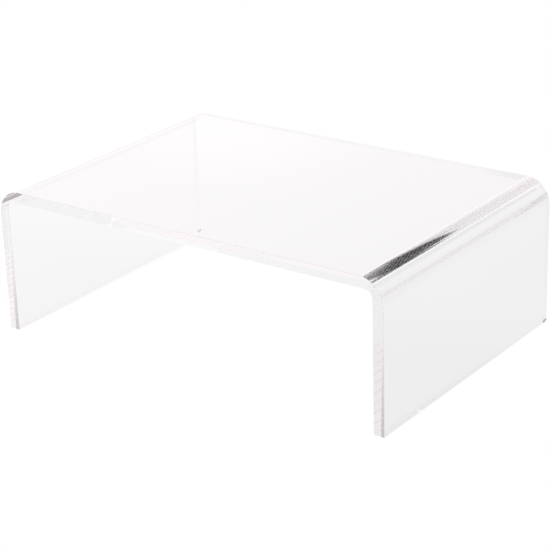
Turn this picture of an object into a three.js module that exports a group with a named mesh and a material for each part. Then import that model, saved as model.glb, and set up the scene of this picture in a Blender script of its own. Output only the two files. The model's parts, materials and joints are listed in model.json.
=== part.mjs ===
import * as THREE from 'three';

// A monitor riser: one thick sheet of clear acrylic, heat-bent along two lines into an upside-down U.
// Millimetres, +Z up. The origin is on the desk in the middle of the footprint. X runs across the
// riser from leg to leg, and Y runs from the front edge (-Y) to the rear edge (+Y).

const INCH = 25.4;
const WIDTH = 15 * INCH; // X, over the outer faces of the legs
const DEPTH = 10 * INCH; // Y, from the front edge to the rear edge
const HEIGHT = 5 * INCH; // Z, from the desk to the top face
const THICKNESS = (3 / 8) * INCH; // the flat sheet
// The sheet was softened along a narrow line and folded, so the inside of a bend is tight while the
// outside is stretched into a wide curve, and the sheet is thinner across the middle of the bend.
const OUTER_RADIUS = 22;
const INNER_RADIUS = 7;
const BEND_DIVISIONS = 12; // three.js doubles this for a round curve, so a bend has 24 facets

const CLEAR_ACRYLIC = new THREE.MeshStandardMaterial({
  color: 0xf8f4f6,
  roughness: 0.04,
  metalness: 0,
  transparent: true,
  opacity: 0.3,
});

// The outline of the bent sheet as seen from the front: X across and Y up, with the desk at Y = 0.
// It goes up the left leg, over the top and down the right leg, and then back along the underside.
function bentSheetOutline() {
  const outerX = WIDTH / 2;
  const innerX = outerX - THICKNESS;
  const outerBend = { x: outerX - OUTER_RADIUS, y: HEIGHT - OUTER_RADIUS };
  const innerBend = { x: innerX - INNER_RADIUS, y: HEIGHT - THICKNESS - INNER_RADIUS };
  const quarterTurn = Math.PI / 2;

  const outline = new THREE.Shape();
  outline.moveTo(-outerX, 0);
  outline.lineTo(-outerX, outerBend.y);
  outline.absarc(-outerBend.x, outerBend.y, OUTER_RADIUS, Math.PI, quarterTurn, true);
  outline.lineTo(outerBend.x, HEIGHT);
  outline.absarc(outerBend.x, outerBend.y, OUTER_RADIUS, quarterTurn, 0, true);
  outline.lineTo(outerX, 0);
  outline.lineTo(innerX, 0);
  outline.lineTo(innerX, innerBend.y);
  outline.absarc(innerBend.x, innerBend.y, INNER_RADIUS, 0, quarterTurn, false);
  outline.lineTo(-innerBend.x, HEIGHT - THICKNESS);
  outline.absarc(-innerBend.x, innerBend.y, INNER_RADIUS, quarterTurn, Math.PI, false);
  outline.lineTo(-innerX, 0);
  outline.closePath();
  return outline;
}

// The sheet is the outline swept from the rear edge to the front edge. An extrusion grows along its
// own +Z, and a quarter turn about X lays that along -Y and stands the outline up.
function bentAcrylicSheet() {
  const geometry = new THREE.ExtrudeGeometry(bentSheetOutline(), {
    depth: DEPTH,
    steps: 1,
    bevelEnabled: false,
    curveSegments: BEND_DIVISIONS,
  });
  const sheet = new THREE.Mesh(geometry, CLEAR_ACRYLIC);
  sheet.name = 'bent_acrylic_sheet';
  sheet.rotation.x = Math.PI / 2;
  sheet.position.y = DEPTH / 2;
  return sheet;
}

const riser = new THREE.Group();
riser.add(bentAcrylicSheet());

export default riser;
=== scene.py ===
import json
import math

import bpy
from mathutils import Matrix, Vector


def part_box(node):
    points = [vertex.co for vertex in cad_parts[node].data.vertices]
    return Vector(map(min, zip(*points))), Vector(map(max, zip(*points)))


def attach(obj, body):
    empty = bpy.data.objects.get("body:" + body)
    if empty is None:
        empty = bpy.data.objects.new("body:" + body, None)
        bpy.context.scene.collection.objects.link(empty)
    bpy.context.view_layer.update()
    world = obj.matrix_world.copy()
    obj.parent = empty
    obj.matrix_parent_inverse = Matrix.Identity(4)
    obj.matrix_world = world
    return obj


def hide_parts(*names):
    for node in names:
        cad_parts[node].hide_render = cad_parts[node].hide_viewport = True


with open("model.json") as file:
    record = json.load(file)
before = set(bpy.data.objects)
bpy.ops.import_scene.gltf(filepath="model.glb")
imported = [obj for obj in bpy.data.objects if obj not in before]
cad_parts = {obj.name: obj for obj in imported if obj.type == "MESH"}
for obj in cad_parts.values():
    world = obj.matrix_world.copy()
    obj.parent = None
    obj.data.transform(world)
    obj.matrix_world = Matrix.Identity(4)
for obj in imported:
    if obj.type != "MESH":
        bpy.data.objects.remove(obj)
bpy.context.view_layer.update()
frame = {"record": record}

# ---- Sizes, in metres. The outside size and the sheet's thickness come from the frame. ----
NODE = "bent_acrylic_sheet"
BODY = "root"
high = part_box(NODE)[1]
right_foot = next(m for m in frame["record"]["mounts"] if m["name"] == "right_leg_foot")

HALF_WIDTH = high.x
HALF_DEPTH = high.y
HEIGHT = high.z
SHEET = 2 * (HALF_WIDTH - right_foot["pos_m"][0])
OUTER_RADIUS = 0.022
INNER_RADIUS = 0.007
EASED_EDGE = 0.0002  # the radius that polishing leaves on the edges of the sheet
EASED_CORNER = 0.0003  # the same at the foot of each leg, seen from the front
BEND_STEPS = 64
EASED_STEPS = 4

# ---- Acrylic ----
BROAD_SLOT = 0
CUT_SLOT = 1
ACRYLIC_IOR = 1.49
SHEET_TINT = (1.0, 0.995, 0.998, 1.0)
ABSORPTION_TINT = (0.30, 0.28, 0.29, 1.0)
ABSORPTION = 0.15  # per metre, so a long way through the sheet turns light grey
# How uneven each surface is: smudges vary its polish, up to the roughness named roughest. Smudges,
# waves and ripples are scales in waves per metre, and the depths are in metres.
BROAD_FACES = {
    "smudges": 22, "roughest": 0.012,
    "waves": 9, "wave_depth": 2e-5,
    "ripples": 60, "ripple_depth": 1e-6,
}
CUT_EDGES = {
    "smudges": 70, "roughest": 0.006,
    "waves": 25, "wave_depth": 2e-6,
    "ripples": 150, "ripple_depth": 2e-7,
}
SMUDGE_DETAIL, WAVE_DETAIL, RIPPLE_DETAIL = 6, 1, 2
NOISE_LOW, NOISE_HIGH = 0.35, 0.7  # nearly all of a noise texture is between these

# ---- Studio, in metres and degrees. Azimuth 0 is in front of the riser and 90 is to its right. ----
WHITE = (1.0, 1.0, 1.0, 1.0)
ROOM_LEVEL = 1.0
ROOM_COLOUR = (1.0, 0.955, 0.975, 1.0)  # the soft studio light is very slightly pink
# Dark parts of the room: (azimuth, elevation, half width, half height, soft edge, how dark), where
# the last is 1 for black.
DARK_PARTS = {
    "room behind the table": (180, 39, 15, 5, 4, 1.0),
    "ceiling behind the table": (180, 52, 14, 5, 3, 0.6),
    "left of the card": (-39, 21, 1.5, 1.5, 1.5, 0.5),
    "right of the card": (-27.5, 23, 1.5, 3, 1, 0.9),
    "photographer": (26, 27, 12, 8, 6, 0.15),
    "right of the room behind": (150, 32, 14, 4, 5, 0.45),
    "further right": (134, 27.5, 5, 3, 4, 0.45),
    "left of the room behind": (-144, 29, 8, 4, 3, 0.13),
}
CARD_AZIMUTH = -35
CARD_DISTANCE = 0.4
CARD_ASIDE = -0.175  # so the card stands to the left of the line of sight at CARD_AZIMUTH
CARD_HALF_WIDTH = 0.047
CARD_HEIGHT = 0.261
CARD_LEAN = 0.059  # how much further right the card's top is than its foot
# Painted light: the table is an emitter, glowing this brightly under the middle of the riser, with painted
# shade and painted light added to that in other places.
FLOOR_GLOW_MIDDLE = 0.885
FLOOR_GLOW_SLOPE_RIGHT = -0.166  # for each metre to the right; painted shade that darkens the glowing table towards the right
FLOOR_REACH = 0.8  # the slope above stops this far to each side
# Painted light: the table glows a little brighter behind the riser.
FLOOR_GLOW_EXTRA_BEHIND = 0.02
BEHIND_FROM, BEHIND_TO = 0.0, 0.15
FLOOR_GLOW_EXTRA_CORNER = 0.045  # painted light, only far behind and to the left
CORNER_BEHIND_FROM, CORNER_BEHIND_TO = 0.20, 0.36
CORNER_LEFT_FROM, CORNER_LEFT_TO = -0.12, -0.32
FLOOR_HALF_SIZE = 10.0
FLOOR_GAP = 0.0002  # keeps the table from touching the feet
CAMERA_AZIMUTH, CAMERA_ELEVATION, CAMERA_ROLL = 36.57, 22.48, -1.86
CAMERA_DISTANCE = 1.553
CAMERA_AIM = Vector((0.0033, -0.0052, 0.0481))
CAMERA_LENS, CAMERA_SENSOR = 120.7, 36  # millimetres
CAMERA_REACH = 100
BOUNCES = 256  # light caught inside the sheet is reflected this often; fewer leaves false dark lines
CLEAR_BOUNCES = 16


# ---- The sheet ----
def arc(centre, radius, start, stop, steps, side):
    """Points round an arc in the XZ plane as (x, z, normal x, normal z). side is 1 where the sheet
    is inside the arc and -1 where it is outside."""
    points = []
    for step in range(steps + 1):
        angle = math.radians(start + (stop - start) * step / steps)
        out_x, out_z = math.cos(angle), math.sin(angle)
        x, z = centre[0] + radius * out_x, centre[1] + radius * out_z
        points.append((x, z, side * out_x, side * out_z))
    return points


def right_half(inset):
    """The right half of the sheet's outline, as its outer and its inner line, each from the middle of
    the top to the foot of the leg. inset moves the whole outline into the sheet."""
    outer_bend = (HALF_WIDTH - OUTER_RADIUS, HEIGHT - OUTER_RADIUS)
    inner_bend = (HALF_WIDTH - SHEET - INNER_RADIUS, HEIGHT - SHEET - INNER_RADIUS)
    corner = EASED_CORNER - inset
    outer_corner = (HALF_WIDTH - EASED_CORNER, EASED_CORNER)
    inner_corner = (HALF_WIDTH - SHEET + EASED_CORNER, EASED_CORNER)

    outer = [(0.0, HEIGHT - inset, 0.0, 1.0)]
    outer += arc(outer_bend, OUTER_RADIUS - inset, 90, 0, BEND_STEPS, 1)
    outer += arc(outer_corner, corner, 0, -90, EASED_STEPS, 1)

    inner = [(0.0, HEIGHT - SHEET + inset, 0.0, -1.0)]
    inner += arc(inner_bend, INNER_RADIUS + inset, 90, 0, BEND_STEPS, -1)
    inner += arc(inner_corner, corner, 180, 270, EASED_STEPS, 1)
    return outer, inner


def whole_outline(inset):
    """The closed outline in two lines: up the outside from the left foot and over the top to the
    right foot, then back along the inside."""
    outer, inner = right_half(inset)

    def mirrored(line):
        return [(-x, z, -nx, nz) for x, z, nx, nz in line]

    over = mirrored(outer)[::-1] + outer[1:]
    back = inner[::-1] + mirrored(inner)[1:]
    return over, back


def sheet_rings():
    """(y, inset, share of the normal that points out of the cut face) for each ring of points."""
    rings = []
    for step in range(EASED_STEPS + 1):
        turn = math.radians(90 * step / EASED_STEPS)
        rings.append((EASED_EDGE * (1 - math.cos(turn)), EASED_EDGE * (1 - math.sin(turn)), math.cos(turn)))
    front = [(-HALF_DEPTH + y, inset, -share) for y, inset, share in rings]
    rear = [(HALF_DEPTH - y, inset, share) for y, inset, share in rings]
    return front + rear[::-1]


def strip_faces(vertices, ring_count, count):
    """The faces between each ring of count points and the next, and the material slot of each."""

    def at_foot(i, j):
        """Whether the strip from point i to point j is on the lower edge of a leg."""
        return max(vertices[i][2], vertices[j][2]) <= EASED_CORNER

    faces, slots = [], []
    for ring in range(ring_count - 1):
        here, there = ring * count, (ring + 1) * count
        for i in range(count):
            j = (i + 1) % count
            faces.append((here + i, here + j, there + j, there + i))
            slots.append(CUT_SLOT if ring != EASED_STEPS or at_foot(i, j) else BROAD_SLOT)
    return faces, slots


def end_faces(over_count, count, last):
    """A ribbon of faces across the cut face at the front, and another at the rear. last is the first
    point of the rearmost ring."""
    faces = []
    for i in range(over_count - 1):
        ribbon = (i, i + 1, count - 2 - i, count - 1 - i)
        faces.append(tuple(reversed(ribbon)))
        faces.append(tuple(last + k for k in ribbon))
    return faces


def build_sheet():
    """The bent sheet: rings of points along its depth, closed by a ribbon of faces at each end."""
    rings = sheet_rings()
    vertices, normals = [], []
    for y, inset, end_share in rings:
        over, back = whole_outline(inset)
        side_share = math.sqrt(max(0.0, 1 - end_share * end_share))
        for x, z, nx, nz in over + back:
            vertices.append((x, y, z))
            normals.append((nx * side_share, end_share, nz * side_share))

    count = len(over) + len(back)
    strips, slots = strip_faces(vertices, len(rings), count)
    ends = end_faces(len(over), count, (len(rings) - 1) * count)
    slots += [CUT_SLOT] * len(ends)
    corner_normals = [normals[vertex] for face in strips for vertex in face]
    corner_normals += [(0, math.copysign(1, vertices[vertex][1]), 0) for face in ends for vertex in face]

    mesh = bpy.data.meshes.new("clear_sheet")
    mesh.from_pydata(vertices, [], strips + ends)
    mesh.polygons.foreach_set("use_smooth", [True] * len(slots))
    mesh.polygons.foreach_set("material_index", slots)
    mesh.normals_split_custom_set(corner_normals)
    mesh.materials.append(acrylic_material("clear_acrylic", **BROAD_FACES))
    mesh.materials.append(acrylic_material("polished_cut_edge", **CUT_EDGES))
    sheet = bpy.data.objects.new("clear_sheet", mesh)
    bpy.context.scene.collection.objects.link(sheet)
    return sheet


# ---- Nodes that the materials and the studio share ----
def new_nodes(owner):
    """An empty node tree on a material or a world."""
    owner.use_nodes = True
    owner.node_tree.nodes.clear()
    return owner.node_tree


def maths(tree, operation, first, second=0.0):
    """One Math node; each operand is a number or another node's output."""
    node = tree.nodes.new("ShaderNodeMath")
    node.operation = operation
    for socket, value in zip(node.inputs, (first, second)):
        if isinstance(value, (int, float)):
            socket.default_value = value
        else:
            tree.links.new(value, socket)
    return node.outputs[0]

def change(tree, value, start, stop, before, after, smooth=True):
    """A change from before, while value is under start, to after, once it passes stop."""
    step = tree.nodes.new("ShaderNodeMapRange")
    step.interpolation_type = "SMOOTHSTEP" if smooth else "LINEAR"
    step.inputs["From Min"].default_value = start
    step.inputs["From Max"].default_value = stop
    step.inputs["To Min"].default_value = before
    step.inputs["To Max"].default_value = after
    tree.links.new(value, step.inputs["Value"])
    return step.outputs["Result"]


# ---- Materials ----
def noise(tree, scale, detail):
    """A noise texture laid over the riser itself; scale is in waves per metre."""
    where = tree.nodes.new("ShaderNodeTexCoord")
    texture = tree.nodes.new("ShaderNodeTexNoise")
    texture.inputs["Scale"].default_value = scale
    texture.inputs["Detail"].default_value = detail
    tree.links.new(where.outputs["Object"], texture.inputs["Vector"])
    return texture.outputs["Fac"]


def relief(tree, value, depth, under=None):
    """Surface relief as deep as depth where value is 1, laid over the relief given as under."""
    bump = tree.nodes.new("ShaderNodeBump")
    bump.inputs["Strength"].default_value = 1.0
    bump.inputs["Distance"].default_value = depth
    tree.links.new(value, bump.inputs["Height"])
    if under is not None:
        tree.links.new(under, bump.inputs["Normal"])
    return bump.outputs["Normal"]


def acrylic_material(name, smudges, roughest, waves, wave_depth, ripples, ripple_depth):
    """Clear acrylic. The long waves are the unevenness of cast sheet and the ripples are what
    polishing leaves."""
    material = bpy.data.materials.new(name)
    tree = new_nodes(material)
    out = tree.nodes.new("ShaderNodeOutputMaterial")
    acrylic = tree.nodes.new("ShaderNodeBsdfPrincipled")
    acrylic.inputs["Base Color"].default_value = SHEET_TINT
    acrylic.inputs["IOR"].default_value = ACRYLIC_IOR
    acrylic.inputs["Transmission Weight"].default_value = 1.0
    smudged = noise(tree, smudges, SMUDGE_DETAIL)
    roughness = change(tree, smudged, NOISE_LOW, NOISE_HIGH, 0.0, roughest, smooth=False)
    tree.links.new(roughness, acrylic.inputs["Roughness"])
    waved = relief(tree, noise(tree, waves, WAVE_DETAIL), wave_depth)
    rippled = relief(tree, noise(tree, ripples, RIPPLE_DETAIL), ripple_depth, waved)
    tree.links.new(rippled, acrylic.inputs["Normal"])
    absorb = tree.nodes.new("ShaderNodeVolumeAbsorption")
    absorb.inputs["Color"].default_value = ABSORPTION_TINT
    absorb.inputs["Density"].default_value = ABSORPTION
    tree.links.new(acrylic.outputs[0], out.inputs["Surface"])
    tree.links.new(absorb.outputs[0], out.inputs["Volume"])
    return material


sheet = build_sheet()
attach(sheet, BODY)
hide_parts(NODE)


# ---- Studio ----
def direction(azimuth, elevation):
    """A unit vector. Azimuth 0 is in front of the riser (-Y) and 90 is to its right (+X)."""
    a, e = math.radians(azimuth), math.radians(elevation)
    return Vector((math.sin(a) * math.cos(e), -math.cos(a) * math.cos(e), math.sin(e)))


def along(tree, look, axis):
    """How far the direction look goes along an axis."""
    dot = tree.nodes.new("ShaderNodeVectorMath")
    dot.operation = "DOT_PRODUCT"
    dot.inputs[1].default_value = axis
    tree.links.new(look, dot.inputs[0])
    return dot.outputs["Value"]


def fade(tree, angle, half, soft):
    """1 while angle (radians) is within half of zero, falling to 0 over the soft edge (degrees)."""
    away = maths(tree, "ABSOLUTE", angle)
    return change(tree, away, math.radians(half), math.radians(half + soft), 1.0, 0.0)


def darkness(tree, look, azimuth, elevation, half_width, half_height, soft, strength):
    """How dark one part of the room is in the direction look, from 0 to its strength."""
    ahead = along(tree, look, direction(azimuth, 0))
    aside = along(tree, look, direction(azimuth + 90, 0))
    turned = maths(tree, "ARCTAN2", aside, ahead)
    raised = maths(tree, "ARCSINE", along(tree, look, Vector((0, 0, 1))))
    over = maths(tree, "SUBTRACT", raised, math.radians(elevation))
    across = fade(tree, turned, half_width, soft)
    upward = fade(tree, over, half_height, soft)
    return maths(tree, "MULTIPLY", maths(tree, "MULTIPLY", across, upward), strength)


def white_to_camera(tree, shader, kind):
    """Plain white where the camera looks straight at it, and shader for all other light. kind is the
    node that gives the white."""
    white = tree.nodes.new(kind)
    white.inputs["Color"].default_value = WHITE
    path = tree.nodes.new("ShaderNodeLightPath")
    mix = tree.nodes.new("ShaderNodeMixShader")
    tree.links.new(path.outputs["Is Camera Ray"], mix.inputs[0])
    tree.links.new(shader, mix.inputs[1])
    tree.links.new(white.outputs[0], mix.inputs[2])
    return mix.outputs[0]


def build_world():
    """The room: even soft light from all sides, except for the dark parts."""
    world = bpy.data.worlds.new("studio")
    bpy.context.scene.world = world
    tree = new_nodes(world)
    out = tree.nodes.new("ShaderNodeOutputWorld")
    look = tree.nodes.new("ShaderNodeTexCoord").outputs["Generated"]
    level = ROOM_LEVEL
    for part in DARK_PARTS.values():
        light = maths(tree, "SUBTRACT", 1.0, darkness(tree, look, *part))
        level = maths(tree, "MULTIPLY", level, light)
    room = tree.nodes.new("ShaderNodeBackground")
    room.inputs["Color"].default_value = ROOM_COLOUR
    tree.links.new(level, room.inputs["Strength"])
    shown = white_to_camera(tree, room.outputs[0], "ShaderNodeBackground")
    tree.links.new(shown, out.inputs["Surface"])


def staged_object(name, outline, material):
    """A flat piece of the studio with the given outline, which isn't part of the riser."""
    mesh = bpy.data.meshes.new(name)
    mesh.from_pydata(outline, [], [tuple(range(len(outline)))])
    mesh.materials.append(material)
    piece = bpy.data.objects.new(name, mesh)
    bpy.context.scene.collection.objects.link(piece)
    return piece


def painted_floor_glow(tree):
    """How brightly the table glows from place to place: painted light and painted shade, darker to the right
    and brighter behind and far behind on the left.
    """
    where = tree.nodes.new("ShaderNodeSeparateXYZ")
    tree.links.new(tree.nodes.new("ShaderNodeTexCoord").outputs["Object"], where.inputs[0])
    x, y = where.outputs["X"], where.outputs["Y"]
    across = maths(tree, "MINIMUM", maths(tree, "MAXIMUM", x, -FLOOR_REACH), FLOOR_REACH)
    sideways = maths(tree, "MULTIPLY", across, FLOOR_GLOW_SLOPE_RIGHT)
    behind = change(tree, y, BEHIND_FROM, BEHIND_TO, FLOOR_GLOW_MIDDLE, FLOOR_GLOW_MIDDLE + FLOOR_GLOW_EXTRA_BEHIND)
    corner_y = change(tree, y, CORNER_BEHIND_FROM, CORNER_BEHIND_TO, 0.0, FLOOR_GLOW_EXTRA_CORNER)
    corner_x = change(tree, x, CORNER_LEFT_TO, CORNER_LEFT_FROM, 1.0, 0.0)
    corner = maths(tree, "MULTIPLY", corner_x, corner_y)
    return maths(tree, "ADD", maths(tree, "ADD", sideways, behind), corner)


def build_floor():
    """The white table: plain white to the camera, and for all other light an emitter whose glow is painted
    light and painted shade.
    """
    material = bpy.data.materials.new("glowing_white_table")
    tree = new_nodes(material)
    out = tree.nodes.new("ShaderNodeOutputMaterial")
    lit = tree.nodes.new("ShaderNodeEmission")
    tree.links.new(painted_floor_glow(tree), lit.inputs["Strength"])
    shown = white_to_camera(tree, lit.outputs[0], "ShaderNodeEmission")
    tree.links.new(shown, out.inputs["Surface"])
    near, far = -FLOOR_HALF_SIZE, FLOOR_HALF_SIZE
    floor = staged_object("floor", [(near, near, 0), (far, near, 0), (far, far, 0), (near, far, 0)], material)
    floor.location.z = -FLOOR_GAP


def build_card():
    """A black card that leans, stood on the table at the front left. The right bend shows it as a dark
    streak, because light caught inside the sheet runs along it and out towards the card."""
    material = bpy.data.materials.new("black_card")
    tree = new_nodes(material)
    out = tree.nodes.new("ShaderNodeOutputMaterial")
    black = tree.nodes.new("ShaderNodeEmission")
    black.inputs["Strength"].default_value = 0.0
    tree.links.new(black.outputs[0], out.inputs["Surface"])
    aside = direction(CARD_AZIMUTH + 90, 0)
    middle = direction(CARD_AZIMUTH, 0) * CARD_DISTANCE + aside * CARD_ASIDE
    left, right = [middle + aside * CARD_HALF_WIDTH * side for side in (-1, 1)]
    to_top = Vector((0, 0, CARD_HEIGHT)) + aside * CARD_LEAN
    card = staged_object("black_card", [left, right, right + to_top, left + to_top], material)
    card.visible_camera = False


def build_camera():
    """The camera, aimed from its azimuth and elevation and then turned by its roll."""
    back = direction(CAMERA_AZIMUTH, CAMERA_ELEVATION)
    right = (-back).cross(Vector((0, 0, 1))).normalized()
    up = right.cross(-back)
    c, s = math.cos(math.radians(CAMERA_ROLL)), math.sin(math.radians(CAMERA_ROLL))
    right, up = c * right + s * up, c * up - s * right
    data = bpy.data.cameras.new("camera")
    data.sensor_width = CAMERA_SENSOR
    data.lens = CAMERA_LENS
    data.clip_end = CAMERA_REACH
    camera = bpy.data.objects.new("camera", data)
    turn = Matrix((right, up, back)).transposed().to_4x4()
    camera.matrix_world = Matrix.Translation(CAMERA_AIM + back * CAMERA_DISTANCE) @ turn
    bpy.context.scene.collection.objects.link(camera)
    bpy.context.scene.camera = camera


build_world()
build_floor()
build_card()
build_camera()

scene = bpy.context.scene
scene.view_settings.view_transform = "Standard"
scene.cycles.max_bounces = BOUNCES
scene.cycles.transmission_bounces = BOUNCES
scene.cycles.glossy_bounces = BOUNCES
scene.cycles.transparent_max_bounces = CLEAR_BOUNCES
